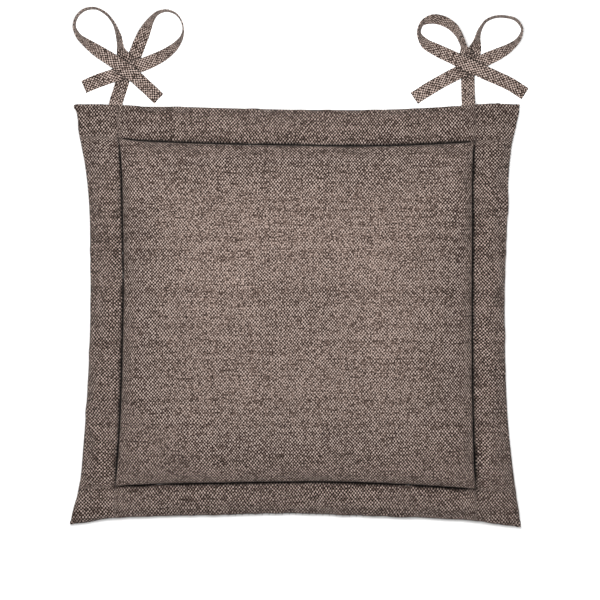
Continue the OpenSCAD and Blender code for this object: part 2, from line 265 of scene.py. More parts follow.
# The outline, as (place along the side, distance from the middle). It is drawn in at the
# middle of each side and runs out to a dog-ear at each corner.
EDGE_LEFT = [(-0.1875, -0.2024), (-0.172, -0.1990), (-0.157, -0.1956), (-0.144, -0.1931),
             (-0.117, -0.1905), (-0.077, -0.1874), (-0.03, -0.1849), (0.004, -0.1840),
             (0.057, -0.1842), (0.100, -0.1856), (0.120, -0.1878), (0.146, -0.1920),
             (0.160, -0.1943), (0.172, -0.1953), (0.179, -0.1964), (0.1845, -0.1992),
             (0.1875, -0.1980)]
EDGE_RIGHT = [(-0.1875, 0.2011), (-0.166, 0.1984), (-0.144, 0.1958), (-0.117, 0.1923),
              (-0.095, 0.1901), (-0.06, 0.1880), (-0.023, 0.1871), (0.02, 0.1869),
              (0.057, 0.1880), (0.09, 0.1895), (0.125, 0.1907), (0.146, 0.1930),
              (0.165, 0.1965), (0.178, 0.1993), (0.1875, 0.2000)]
EDGE_BACK = [(-0.2, 0.1873), (-0.172, 0.1873), (-0.155, 0.1863), (-0.137, 0.1858),
             (-0.104, 0.1856), (-0.07, 0.1847), (-0.03, 0.1836), (0.02, 0.1828),
             (0.07, 0.1829), (0.10, 0.1839), (0.13, 0.1855), (0.15, 0.1866),
             (0.172, 0.1877), (0.2, 0.1874)]
EDGE_FRONT = [(-0.2, -0.1882), (-0.18, -0.1857), (-0.166, -0.1834), (-0.14, -0.1818),
              (-0.11, -0.1809), (-0.07, -0.1799), (-0.03, -0.1787), (0.01, -0.1786),
              (0.04, -0.1800), (0.09, -0.1813), (0.13, -0.1836), (0.16, -0.1853),
              (0.178, -0.1879), (0.2, -0.1908)]
# The stitched line, in the same way.
STITCH_LEFT = [(-0.19, -0.1620), (-0.150, -0.1604), (-0.117, -0.1579), (-0.077, -0.1558),
               (-0.03, -0.1544), (0.03, -0.1535), (0.08, -0.1543), (0.13, -0.1556),
               (0.157, -0.1580), (0.19, -0.1600)]
STITCH_RIGHT = [(-0.19, 0.1610), (-0.150, 0.1595), (-0.117, 0.1582), (-0.07, 0.1571),
                (0.0, 0.1567), (0.08, 0.1571), (0.13, 0.1573), (0.157, 0.1588), (0.19, 0.1600)]
STITCH_BACK = [(-0.2, 0.1585), (-0.158, 0.1562), (-0.14, 0.1543), (-0.105, 0.1526),
               (-0.06, 0.1511), (0.0, 0.1501), (0.04, 0.1493), (0.09, 0.1499),
               (0.13, 0.1516), (0.159, 0.1533), (0.2, 0.1560)]
STITCH_FRONT = [(-0.2, -0.1560), (-0.16, -0.1531), (-0.12, -0.1514), (-0.07, -0.1503),
                (-0.02, -0.1494), (0.04, -0.1494), (0.08, -0.1508), (0.11, -0.1524),
                (0.14, -0.1544), (0.16, -0.1557), (0.2, -0.1590)]

PANEL_HALF = (0.157, 0.152)
EDGE_HALF = (0.200, 0.1875)
# Distances of the grid lines from the stitched line, inwards and outwards
LINES_IN = [d * MM for d in (0.35, 0.8, 1.7, 3.4, 6, 9.5, 13.5, 18)]
PANEL_STEP = 5.2 * MM
BORDER_K = [0.018, 0.04, 0.07, 0.12, 0.17, 0.23, 0.29, 0.35, 0.41, 0.47, 0.53, 0.59, 0.65, 0.71,
            0.77, 0.83, 0.89, 0.94, 0.975, 1.0]
RIM_K = 0.975  # the covers reach furthest out here, and the seam lies in a shallow notch
SEAM_INSET = 0.985
TIP_CUT = 0.6 * MM  # the turned corners are blunt

# Cross-sections. Inside the stitched line: distance from it, and share of the full height.
PANEL_TOP = [(0, 0), (0.35, 0.30), (0.8, 0.50), (1.7, 0.60), (3.4, 0.68), (6, 0.775), (9.5, 0.86),
             (13.5, 0.92), (18, 0.965), (26, 0.995), (34, 1.0), (200, 1.0)]
PANEL_LOW = [(0, 0), (0.35, 0.25), (0.8, 0.42), (1.7, 0.56), (3.4, 0.70), (6, 0.85), (9.5, 0.95),
             (13.5, 1.0), (18, 1.0), (200, 1.0)]
# Outside it: share of the way to the edge, and height in millimetres.
BORDER_TOP = [(0, 10.8), (0.018, 14.2), (0.04, 15.7), (0.07, 16.5), (0.125, 17.3), (0.22, 18.1),
              (0.34, 18.3), (0.46, 17.9), (0.58, 17.0), (0.70, 15.5), (0.80, 13.8), (0.88, 12.0),
              (0.94, 10.3), (0.975, 8.9), (1, 7.6)]
BORDER_LOW = [(0, 9.6), (0.018, 8.0), (0.04, 7.1), (0.07, 6.2), (0.125, 4.9), (0.22, 3.2),
              (0.34, 1.8), (0.46, 1.1), (0.58, 0.9), (0.70, 1.4), (0.80, 2.4), (0.88, 3.7),
              (0.94, 5.0), (0.975, 6.1), (1, 7.4)]
BORDER_MM = 31
BORDER_W = BORDER_MM * MM
BORDER_GIVE = 0.06  # how far sewing pulls the border's weave open
PANEL_H = 29.2 * MM
CROWN = 1.3 * MM
FLOOR_TOP = 10.8 * MM
FLOOR_LOW = 9.6 * MM
TIE_LIFT = 1.1 * MM
TIE_LIFT_HALF = 8.5 * MM


def curve(points, at):
    """Cubic curve through (place, value) points, at an array of places."""
    xs, ys = np.array(points, float).T
    slope = np.gradient(ys, xs)
    at = np.clip(at, xs[0], xs[-1])
    k = np.clip(np.searchsorted(xs, at, side="right") - 1, 0, len(xs) - 2)
    h = xs[k + 1] - xs[k]
    t = (at - xs[k]) / h
    return ((1 + 2 * t) * (1 - t) ** 2 * ys[k] + t * (1 - t) ** 2 * h * slope[k]
            + t ** 2 * (3 - 2 * t) * ys[k + 1] + t ** 2 * (t - 1) * h * slope[k + 1])


def grid_lines(half):
    """Stations from the front or left edge to the back or right: 1 is the stitched line."""
    rest = half - LINES_IN[-1]
    steps = int(round(rest / PANEL_STEP))
    inner = [rest * i / steps / half for i in range(1, steps + 1)]
    near = [1 - d / half for d in reversed(LINES_IN[:-1])]
    outer = [1.0] + [1 + k for k in BORDER_K]
    positive = inner + near + outer
    return np.array([-s for s in reversed(positive)] + [0.0] + positive)


def soft_union(a, b, power):
    """The larger of two shares, rounded where they are alike; 1 stays 1 and 0 gives the other."""
    a, b = np.clip(a, 0, 1), np.clip(b, 0, 1)
    return (a ** power + b ** power - (a * b) ** power) ** (1 / power)


COLS = grid_lines(PANEL_HALF[0])
ROWS = grid_lines(PANEL_HALF[1])
SA, SB = np.meshgrid(COLS, ROWS)


def plan():
    """Where each crossing of the grid lies from above."""
    kx, ky = np.clip(np.abs(SA) - 1, 0, 1), np.clip(np.abs(SB) - 1, 0, 1)
    px = np.where(kx >= 1, SEAM_INSET, kx / RIM_K)
    py = np.where(ky >= 1, SEAM_INSET, ky / RIM_K)
    along_x = np.sign(SA) * (np.minimum(np.abs(SA), 1) * PANEL_HALF[0]
                             + kx * (EDGE_HALF[0] - PANEL_HALF[0]))
    along_y = np.sign(SB) * (np.minimum(np.abs(SB), 1) * PANEL_HALF[1]
                             + ky * (EDGE_HALF[1] - PANEL_HALF[1]))
    left, right = curve(STITCH_LEFT, along_y), curve(STITCH_RIGHT, along_y)
    front, back = curve(STITCH_FRONT, along_x), curve(STITCH_BACK, along_x)
    ix, iy = np.clip(SA, -1, 1), np.clip(SB, -1, 1)
    x = left + (right - left) * (ix + 1) / 2
    y = front + (back - front) * (iy + 1) / 2
    x += np.where(SA > 1, (curve(EDGE_RIGHT, along_y) - right) * px, 0)
    x += np.where(SA < -1, (curve(EDGE_LEFT, along_y) - left) * px, 0)
    y += np.where(SB > 1, (curve(EDGE_BACK, along_x) - back) * py, 0)
    y += np.where(SB < -1, (curve(EDGE_FRONT, along_x) - front) * py, 0)
    tip = TIP_CUT * np.clip((kx + ky - 1.75) / 0.25, 0, 1) ** 2
    return x - np.sign(SA) * tip, y - np.sign(SB) * tip


X, Y = plan()
# Share of the way from the stitched line to the edge, and millimetres inside the line
KX, KY = np.clip(np.abs(SA) - 1, 0, 1), np.clip(np.abs(SB) - 1, 0, 1)
K = soft_union(KX, KY, 2)
DX = (1 - np.minimum(np.abs(SA), 1)) * PANEL_HALF[0] / MM
DY = (1 - np.minimum(np.abs(SB), 1)) * PANEL_HALF[1] / MM
IN_PANEL = (np.abs(SA) <= 1) & (np.abs(SB) <= 1)
FROM_LINE = np.where(IN_PANEL, np.minimum(DX, DY), K * BORDER_MM)
row_one, col_one = int(np.argmin(np.abs(ROWS - 1))), int(np.argmin(np.abs(COLS - 1)))
row_low, col_low = int(np.argmin(np.abs(ROWS + 1))), int(np.argmin(np.abs(COLS + 1)))
# The stitched line is shallower for this far from each inner corner of the panel
CORNER_FADE = {(row_low, col_low): 9.0 * MM, (row_low, col_one): 8.0 * MM,
               (row_one, col_low): 8.0 * MM, (row_one, col_one): 4.5 * MM}
CORNER = np.zeros_like(X)
for (row, col), reach in CORNER_FADE.items():
    near = np.hypot(X - X[row, col], Y - Y[row, col])
    CORNER = np.maximum(CORNER, np.exp(-(near / reach) ** 4))
# Creases that run from the inner corners: start, end, depth and half-width in millimetres
CREASES = [
    ((-0.1585, 0.157), (-0.166, 0.186), 0.8, 2.2), ((-0.1585, 0.157), (-0.181, 0.172), 0.5, 3.0),
    ((0.159, 0.154), (0.179, 0.168), 0.8, 3.0), ((0.159, 0.154), (0.166, 0.180), 0.4, 2.5),
    ((0.160, -0.155), (0.181, -0.168), 0.8, 3.0), ((0.160, -0.155), (0.170, -0.181), 0.4, 2.5),
    ((-0.161, -0.1535), (-0.183, -0.168), 0.8, 3.0), ((-0.161, -0.1535), (-0.167, -0.18), 0.4, 2.5)]


def from_line(x, y, start, end):
    """Distance of each point from a line between two points, and the share along it."""
    (x0, y0), (x1, y1) = start, end
    dx, dy = x1 - x0, y1 - y0
    t = np.clip(((x - x0) * dx + (y - y0) * dy) / (dx * dx + dy * dy), 0, 1)
    return np.hypot(x - x0 - t * dx, y - y0 - t * dy), t


def wander(x, y, size, seed):
    """Smooth noise over the plan, from -1 to 1, with features of one size."""
    flat = [noise.noise(Vector((a / size, b / size, seed))) for a, b in zip(x.ravel(), y.ravel())]
    return np.array(flat).reshape(x.shape)


def heights():
    """Heights of the top and the bottom cover over the plan."""
    top_share = 1 - soft_union(1 - curve(PANEL_TOP, DX), 1 - curve(PANEL_TOP, DY), 2.5)
    low_share = 1 - soft_union(1 - curve(PANEL_LOW, DX), 1 - curve(PANEL_LOW, DY), 2.5)
    crown = CROWN * np.clip(1 - SA ** 2, 0, 1) * np.clip(1 - SB ** 2, 0, 1)
    panel_top = FLOOR_TOP + (PANEL_H - FLOOR_TOP) * np.clip(top_share, 0, 1) + crown
    panel_low = FLOOR_LOW * (1 - np.clip(low_share, 0, 1))
    top = np.where(IN_PANEL, panel_top, curve(BORDER_TOP, K) * MM)
    low = np.where(IN_PANEL, panel_low, curve(BORDER_LOW, K) * MM)
    # The stitched line is shallower at the panel's corners
    slit = np.exp(-(FROM_LINE / 1.1) ** 2)
    top += 4.2 * MM * CORNER * slit
    low -= 1.5 * MM * CORNER * slit
    # Small puckers along the stitched line, and slow waves away from all stitching
    pucker = np.exp(-FROM_LINE / 7) * (1 - np.exp(-FROM_LINE / 1.2))
    top += 0.55 * MM * pucker * wander(X, Y, 0.009, 3.3)
    low += 0.45 * MM * pucker * wander(X, Y, 0.009, 7.7)
    free = np.clip(np.minimum(FROM_LINE, (1 - K) * BORDER_MM) / 6, 0, 1)
    top += 0.45 * MM * free * wander(X, Y, 0.055, 1.7)
    top += 0.22 * MM * free * wander(X, Y, 0.021, 5.1)
    for start, end, depth, half in CREASES:
        away, along = from_line(X, Y, start, end)
        fade = np.clip(1 - along, 0, 1) ** 0.7
        top -= np.where(IN_PANEL, 0, depth * MM * np.exp(-(away / (half * MM)) ** 2) * fade)
    # The back seam opens a little round each tie
    rim = np.clip((K - 0.9) / 0.1, 0, 1)
    for x0 in (LEFT_UPPER[0][0], RIGHT_UPPER[0][0]):
        lift = TIE_LIFT * np.exp(-((X - x0) / TIE_LIFT_HALF) ** 4) * (SB > 1)
        top += lift * rim * (K < 1)
        low -= lift * rim * (K < 1)
    return top, np.maximum(low, 0)


TOP_Z, LOW_Z = heights()
SEAM = K >= 1
TOP_Z = np.where(SEAM, SEAM_Z, TOP_Z)
LOW_Z = np.where(SEAM, SEAM_Z, LOW_Z)
PANEL_REACH = 40  # by this many millimetres inside the stitched line the panel is level
SLOPE_SAMPLES = 600


def slope_extra(profile, height, at):
    """How much longer than the plan the cloth is, from the stitched line to each place."""
    places = np.linspace(0, PANEL_REACH, SLOPE_SAMPLES)
    rise = np.gradient(curve(profile, places) * height)
    run = PANEL_REACH * MM / SLOPE_SAMPLES
    return np.interp(at, places, np.cumsum(np.hypot(rise, run) - run))


def weave_places(panel, panel_height):
    """Places on the cloth: the plan, plus the panel's wall, less the border's stretch."""
    places = []
    for plan_place, side, inside, outside in ((X, SA, DX, KX), (Y, SB, DY, KY)):
        wall = (slope_extra(panel, panel_height, np.array(float(PANEL_REACH)))
                - slope_extra(panel, panel_height, inside))
        stretch = BORDER_GIVE * outside * BORDER_W
        places.append(plan_place + np.sign(side) * (wall - stretch))
    return np.stack(places + [np.zeros_like(X)], axis=-1)


def grid_faces(flip):
    """Faces of the grid, facing up, or down when flipped."""
    rows, cols = X.shape
    faces = []
    for r in range(rows - 1):
        for c in range(cols - 1):
            a, b = r * cols + c, r * cols + c + 1
            d, e = a + cols, b + cols
            faces.append((a, d, e, b) if flip else (a, b, e, d))
    return faces


# ---------------------------------------------------------------- cloth simulation

SIM_FRAMES = 20
SIM_PRESSURE = 4.0
SIM_CAP = 1.6 * MM  # furthest that a point may move
SIM_SLACK = 0.02  # the cloth may grow by this share
SIM_HELD_FROM = 12  # millimetres inside the stitched line; the foam holds the panel flat
SIM_HELD_FADE = 14


def puff(top, low):
    """Lets pressure fill the sewn covers, and returns the moved grids."""
    rows, cols = X.shape
    count = rows * cols
    edge = SEAM.ravel()
    low_index = np.where(edge, np.arange(count), 0)
    low_index[~edge] = count + np.arange((~edge).sum())
    points = np.concatenate([top.reshape(-1, 3), low.reshape(-1, 3)[~edge]])
    faces = grid_faces(False) + [tuple(int(low_index[i]) for i in f) for f in grid_faces(True)]
    pad = new_object("sim_pad", points, faces)
    on_foam = np.clip((FROM_LINE - SIM_HELD_FROM) / SIM_HELD_FADE, 0, 1)
    hold = np.where(IN_PANEL, on_foam, 0)
    hold = np.maximum(hold, (FROM_LINE < 1.0) * 1.0)
    hold = np.maximum(hold, SEAM * 1.0).ravel()
    on_floor = low[..., 2].ravel() < 0.5 * MM
    weights = np.concatenate([hold, np.maximum(hold, on_floor)[~edge]])
    group = pad.vertex_groups.new(name="held")
    for i, w in enumerate(weights):
        if w > 0:
            group.add([i], float(w), "REPLACE")
    cloth = pad.modifiers.new("cloth", "CLOTH")
    cloth.settings.quality = 5
    cloth.settings.mass = 0.2
    cloth.settings.use_pressure = True
    cloth.settings.uniform_pressure_force = SIM_PRESSURE
    cloth.settings.vertex_group_mass = "held"
    cloth.settings.shrink_min = -SIM_SLACK
    cloth.settings.effector_weights.gravity = 0
    cloth.collision_settings.use_collision = False
    cloth.collision_settings.use_self_collision = False
    cloth.point_cache.frame_start = 1
    cloth.point_cache.frame_end = SIM_FRAMES
    for number in range(1, SIM_FRAMES + 1):
        bpy.context.scene.frame_set(number)
    shape = pad.evaluated_get(bpy.context.evaluated_depsgraph_get())
    moved = np.array([v.co for v in shape.to_mesh().vertices])
    shape.to_mesh_clear()
    bpy.data.objects.remove(pad, do_unlink=True)
    bpy.context.scene.frame_set(1)
    shift = moved - points
    size = np.linalg.norm(shift, axis=1)
    shift *= (np.minimum(size, SIM_CAP) / np.maximum(size, 1e-9))[:, None]
    points = points + shift
    new_top = points[:count].reshape(top.shape)
    new_low = points[low_index].reshape(low.shape)
    new_low[..., 2] = np.maximum(new_low[..., 2], 0)
    return new_top, new_low


top_grid = np.stack([X, Y, TOP_Z], axis=-1)
low_grid = np.stack([X, Y, LOW_Z], axis=-1)
top_grid, low_grid = puff(top_grid, low_grid)


def finish_mesh(piece, modifiers):
    """Adds modifiers and keeps only their result."""
    for kind, settings in modifiers:
        modifier = piece.modifiers.new(kind.lower(), kind)
        for key, value in settings.items():
            setattr(modifier, key, value)
    graph = bpy.context.evaluated_depsgraph_get()
    shape = piece.evaluated_get(graph)
    mesh = bpy.data.meshes.new_from_object(shape, preserve_all_data_layers=True, depsgraph=graph)
    piece.modifiers.clear()
    piece.data = mesh
    for polygon in mesh.polygons:
        polygon.use_smooth = True


CLOTH_T = 0.6 * MM
# Painted shade, by the distance from the stitched line in millimetres, or by K on the border
PANEL_SHADE = [(0, 0.56), (1.5, 0.64), (5, 0.80), (12, 0.92), (25, 1.0), (200, 1.0)]
BORDER_SHADE = [(0, 0.50), (0.08, 0.57), (0.2, 0.70), (0.4, 0.78), (0.8, 0.74), (1, 0.52)]
SLIT_IN_SHADE = [(0, 0.02), (0.35, 0.25), (0.8, 0.7), (1.7, 1), (200, 1)]
SLIT_OUT_SHADE = [(0, 0.02), (0.56, 0.10), (1.24, 0.6), (2.2, 1), (200, 1)]
# Painted shade: the back border a little darker, and the cover darker towards the front
BACK_SHADE = 0.96
FRONT_PAINTED_SHADE = 0.09


def painted_cover_shade():
    """Painted shade: darker on the border, the panel's shoulder, the creases and towards the front;
    darkest in the stitched crease.
    """
    border = curve(BORDER_SHADE, K)
    border *= np.where(SB > 1, BACK_SHADE, 1.0)
    slit = np.where(IN_PANEL, curve(SLIT_IN_SHADE, FROM_LINE), curve(SLIT_OUT_SHADE, FROM_LINE))
    slit = 1 - (1 - np.clip(slit, 0, 1)) * (1 - 0.6 * CORNER)
    shade = np.where(IN_PANEL, curve(PANEL_SHADE, FROM_LINE), border)
    shade = shade - FRONT_PAINTED_SHADE * np.clip((0.10 - Y) / 0.27, 0, 1)
    shade *= slit
    # painted shade along the creases that run from the inner corners
    for start, end, depth, half in CREASES:
        away, along = from_line(X, Y, start, end)
        fold = 0.35 * depth * np.exp(-(away / (0.6 * half * MM)) ** 2) * np.clip(1 - along, 0, 1)
        shade *= np.where(IN_PANEL, 1, 1 - fold)
    return shade


def make_cover(name, grid, weave, flip):
    cover = new_object(name, grid.reshape(-1, 3), grid_faces(flip), weave.reshape(-1, 3),
                       painted_cover_shade())
    finish_mesh(cover, [("SUBSURF", {"levels": 1, "render_levels": 1}),
                        ("SOLIDIFY", {"thickness": CLOTH_T, "offset": -1})])
    return cover


top_weave = weave_places(PANEL_TOP, PANEL_H - FLOOR_TOP)
low_weave = weave_places(PANEL_LOW, FLOOR_LOW)
top_cover = make_cover("top_cover_cloth", top_grid, top_weave, False)
low_cover = make_cover("bottom_cover_cloth", low_grid, low_weave, True)
for cover, node in ((top_cover, "top_cover"), (low_cover, "bottom_cover")):
    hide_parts(node)
    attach(cover, "cushion")

# ---------------------------------------------------------------- filling

FOAM_HALF = (0.143, 0.138)
FOAM_Z = (5.0 * MM, 25.0 * MM)
FOAM_ROUND = 4.0 * MM
WADDING_K = 0.78  # the wadding ends this far out, between the seam allowances
SKIN_GAP = 1.0 * MM
WADDING_LEAST = 0.3 * MM
WADDING_MEET = (11.3 * MM, 7.5 * MM)  # where both layers meet: at the panel, and at their edge
WADDING_GAP = 0.1 * MM


def eroded(z, side):
    """Half-way to the innermost height of each point's neighbours; side is 1 for the top."""
    padded = np.pad(z * side, 1, mode="edge")
    rows, cols = z.shape
    around = [padded[r:r + rows, c:c + cols] for r in range(3) for c in range(3)]
    return (0.5 * z * side + 0.5 * np.min(around, axis=0)) * side


def make_wadding(name, grid, side):
    """A layer that follows its cover outside, and the foam and the other layer inside."""
    rows = np.where(np.abs(ROWS) <= 1 + WADDING_K + 1e-6)[0]
    cols = np.where(np.abs(COLS) <= 1 + WADDING_K + 1e-6)[0]
    cut = np.ix_(rows, cols)
    skin = eroded(grid[..., 2], side)[cut] - side * SKIN_GAP
    at_panel, at_edge = WADDING_MEET
    middle = at_panel - np.clip(K[cut] / WADDING_K, 0, 1) * (at_panel - at_edge)
    foam_face = (FOAM_Z[1] if side > 0 else FOAM_Z[0]) + side * WADDING_GAP
    share = np.where(IN_PANEL[cut], np.clip((FROM_LINE[cut] - 6) / 3.4, 0, 1), 0)
    inner = middle + side * WADDING_GAP + share * (foam_face - middle)
    inner = side * np.minimum(side * inner, side * skin - WADDING_LEAST)
    outer_points = np.stack([grid[..., 0][cut], grid[..., 1][cut], skin], axis=-1)
    outer_points = outer_points.reshape(-1, 3)
    inner_points = outer_points.copy()
    inner_points[:, 2] = inner.ravel()
    n, m = len(rows), len(cols)
    count = n * m
    up = [(r * m + c, r * m + c + 1, (r + 1) * m + c + 1, (r + 1) * m + c)
          for r in range(n - 1) for c in range(m - 1)]
    loop = [c for c in range(m)] + [r * m + m - 1 for r in range(1, n)]
    loop += [(n - 1) * m + c for c in range(m - 2, -1, -1)]
    loop += [r * m for r in range(n - 2, 0, -1)]
    down = [tuple(i + count for i in reversed(f)) for f in up]
    rim = [(b, b + count, a + count, a) for a, b in zip(loop, loop[1:] + loop[:1])]
    faces = up + down + rim
    if side < 0:
        faces = [tuple(reversed(f)) for f in faces]
    return new_object(name, np.concatenate([outer_points, inner_points]), faces)


def make_foam():
    (x, y), (low, high) = FOAM_HALF, FOAM_Z
    corners = [(sx * x, sy * y, z) for z in (low, high)
               for sx, sy in ((-1, -1), (1, -1), (1, 1), (-1, 1))]
    faces = [(3, 2, 1, 0), (4, 5, 6, 7), (0, 1, 5, 4), (1, 2, 6, 5), (2, 3, 7, 6), (3, 0, 4, 7)]
    foam = new_object("foam_slab", corners, faces)
    finish_mesh(foam, [("BEVEL", {"width": FOAM_ROUND, "segments": 5})])
    return foam


top_filling = make_wadding("top_wadding_layer", top_grid, 1)
low_filling = make_wadding("bottom_wadding_layer", low_grid, -1)
foam_slab = make_foam()
for piece, node, slot, fill in ((top_filling, "top_wadding", "wadding", 0.9),
                                (low_filling, "bottom_wadding", "wadding", 0.9),
                                (foam_slab, "foam_core", "foam", 1.0)):
    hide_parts(node)
    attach(piece, "cushion")

# ---------------------------------------------------------------- stitches

STITCH_PITCH = 3.6 * MM
STITCH_LEN = 2.9 * MM
QUILT_R = 0.28 * MM
QUILT_DIP = 0.35 * MM  # the ends of a stitch go this far into the cloth
CLOSING_W = 120.0 * MM
CLOSING_PITCH = 6.0 * MM
# One hand stitch over the front seam: place and radius in millimetres
CLOSING_LOOP = [(-0.4, 0.9, 1.4, 0.15), (-0.1, -0.1, 0.7, 0.24), (0, -0.3, 0, 0.26),
                (0.1, -0.1, -0.7, 0.24), (0.4, 0.9, -1.4, 0.15)]


def tube(line, radii, sides=6):
    """Points and faces of a closed tube round a short line of points."""
    line = np.asarray(line, float)
    along = np.gradient(line, axis=0)
    along /= np.linalg.norm(along, axis=1)[:, None]
    guide = np.array([0, 0, 1.0]) if abs(along[0][2]) < 0.8 else np.array([1.0, 0, 0])
    side = np.cross(along, guide)
    side /= np.linalg.norm(side, axis=1)[:, None]
    up = np.cross(side, along)
    points = [p + r * (math.cos(a) * s + math.sin(a) * u)
              for p, r, s, u in zip(line, radii, side, up)
              for a in (2 * math.pi * k / sides for k in range(sides))]
    return points, skin_faces(len(line), sides)


def joined(name, tubes):
    """One object from all the tubes."""
    points, faces = [], []
    for more_points, more_faces in tubes:
        base = len(points)
        points += list(more_points)
        faces += [tuple(i + base for i in f) for f in more_faces]
    return new_object(name, points, faces)


def stitch_row(path, dip):
    """Separate stitches round a path; each stands proud in its middle and dips at its ends."""
    path = np.vstack([path, path[:1]])
    at = travelled(path)
    count = int(at[-1] / STITCH_PITCH)
    tubes = []
    for i in range(count):
        start = i * at[-1] / count
        s = np.linspace(start, start + STITCH_LEN, 5)
        line = np.stack([np.interp(s, at, path[:, a]) for a in range(3)], axis=-1)
        line[:, 2] += np.array([-dip, -0.2 * dip, 0, -0.2 * dip, -dip])
        tubes.append(tube(line, [QUILT_R * f for f in (0.5, 0.95, 1, 0.95, 0.5)]))
    return tubes


def stitched_line(grid, lift):
    """The stitched line round the panel, in order, lifted off its grid."""
    low, high, left, right = row_low, row_one, col_low, col_one
    loop = [grid[low, c] for c in range(left, right)]
    loop += [grid[r, right] for r in range(low, high)]
    loop += [grid[high, c] for c in range(right, left, -1)]
    loop += [grid[r, left] for r in range(high, low, -1)]
    return [p + np.array([0, 0, lift]) for p in loop]


def closing_stitches():
    """Hand stitches that close the front seam."""
    tubes = []
    count = round(CLOSING_W / CLOSING_PITCH)
    for i in range(count + 1):
        x = (i - count / 2) * CLOSING_PITCH
        y = float(curve(EDGE_FRONT, np.array([x]))[0])
        line = [(x + a * MM, y + b * MM, SEAM_Z + c * MM) for a, b, c, _ in CLOSING_LOOP]
        tubes.append(tube(line, [radius * MM for *_, radius in CLOSING_LOOP]))
    return tubes


top_stitches = joined("quilting_stitches_top",
                      stitch_row(stitched_line(top_grid, QUILT_DIP), QUILT_DIP))
low_stitches = joined("quilting_stitches_bottom",
                      stitch_row(stitched_line(low_grid, -QUILT_DIP), -QUILT_DIP))
front_stitches = joined("closing_stitches_front", closing_stitches())
for piece, node in ((top_stitches, "quilting_needle_thread"),
                    (low_stitches, "quilting_bobbin_thread"),
                    (front_stitches, "closing_stitches")):
    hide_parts(node)
    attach(piece, "cushion")

# ---------------------------------------------------------------- materials


class Nodes:
    """Short calls for a material's node tree."""

    def __init__(self, name):
        self.material = bpy.data.materials.new(name)
        self.material.use_nodes = True
        self.tree = self.material.node_tree
        self.shader = self.tree.nodes["Principled BSDF"]

    def add(self, kind, **settings):
        node = self.tree.nodes.new(kind)
        for key, value in settings.items():
            setattr(node, key, value)
        return node

    def plug(self, socket, value):
        if isinstance(value, (int, float, tuple)):
            socket.default_value = value
        else:
            self.tree.links.new(value, socket)

    def set(self, **values):
        """Constants on the shader's own sockets; underscores stand for spaces."""
        for key, value in values.items():
            self.shader.inputs[key.replace("_", " ")].default_value = value

    def math(self, operation, *values, clamp=False):
        node = self.add("ShaderNodeMath", operation=operation, use_clamp=clamp)
        for socket, value in zip(node.inputs, values):
            self.plug(socket, value)
        return node.outputs[0]

    def noise(self, vector, scale, detail):
        node = self.add("ShaderNodeTexNoise")
        self.plug(node.inputs["Vector"], vector)
        node.inputs["Scale"].default_value = scale
        node.inputs["Detail"].default_value = detail
        return node.outputs["Fac"]

    def random(self, x, y):
        node = self.add("ShaderNodeTexWhiteNoise", noise_dimensions="2D")
        self.plug(node.inputs["Vector"], self.join(x, y, 0.0))
        return node.outputs["Value"]

    def join(self, x, y, z):
        node = self.add("ShaderNodeCombineXYZ")
        for socket, value in zip(node.inputs, (x, y, z)):
            self.plug(socket, value)
        return node.outputs[0]

    def ramp(self, value, stops):
        node = self.add("ShaderNodeValToRGB")
        elements = node.color_ramp.elements
        while len(elements) < len(stops):
            elements.new(0.5)
        for element, (at, colour) in zip(elements, stops):
            element.position = at
            element.color = (*colour, 1)
        self.plug(node.inputs[0], value)
        return node.outputs["Color"]

    def multiply(self, a, b):
        node = self.add("ShaderNodeMix", data_type="RGBA", blend_type="MULTIPLY")
        self.plug(node.inputs[0], 1.0)
        self.plug(node.inputs[6], a)
        self.plug(node.inputs[7], b)
        return node.outputs[2]

    def bump(self, height, strength, distance):
        node = self.add("ShaderNodeBump")
        self.plug(node.inputs["Strength"], strength)
        self.plug(node.inputs["Distance"], distance)
        self.plug(node.inputs["Height"], height)
        self.plug(self.shader.inputs["Normal"], node.outputs[0])


WARP_TONE, WEFT_TONE = -0.34, 0.34  # the weft is the lighter yarn
WARP_PITCH = 1.33 * MM  # between the yarns that run along Y
WEFT_PITCH = 1.58 * MM  # between the yarns that run along X
SHADE_CONTRAST = 3.0  # painted shade: where it falls the gaps are darker and the weave stronger
SHADE_SHIFT = 1.08  # and the yarns' tone is lowered by it
SHADE_MULTIPLY_BELOW = 0.55  # below this the painted shade also multiplies the colour
DRIFT = 3.5  # how far the cloth is pulled out of true, in yarns
MIDDLE_TONE = 0.455
# How much each random part adds to a yarn's tone
YARN_SPREAD = 0.14
SLUB_SPREAD = 0.30
FLECK_SPREAD = 0.25
CELL_SPREAD = 0.32
FIBRE_SPREAD = 1.2
GAP_SHADE = 0.35  # how much darker the gaps between the yarns are: painted shade in these hollows
YARN_STOPS = [(0.0, (0.0100, 0.0055, 0.0040)), (0.25, (0.055, 0.0342, 0.0266)),
              (0.50, (0.185, 0.1205, 0.0960)), (0.75, (0.50, 0.354, 0.295)),
              (1.0, (1.25, 0.98, 0.86))]


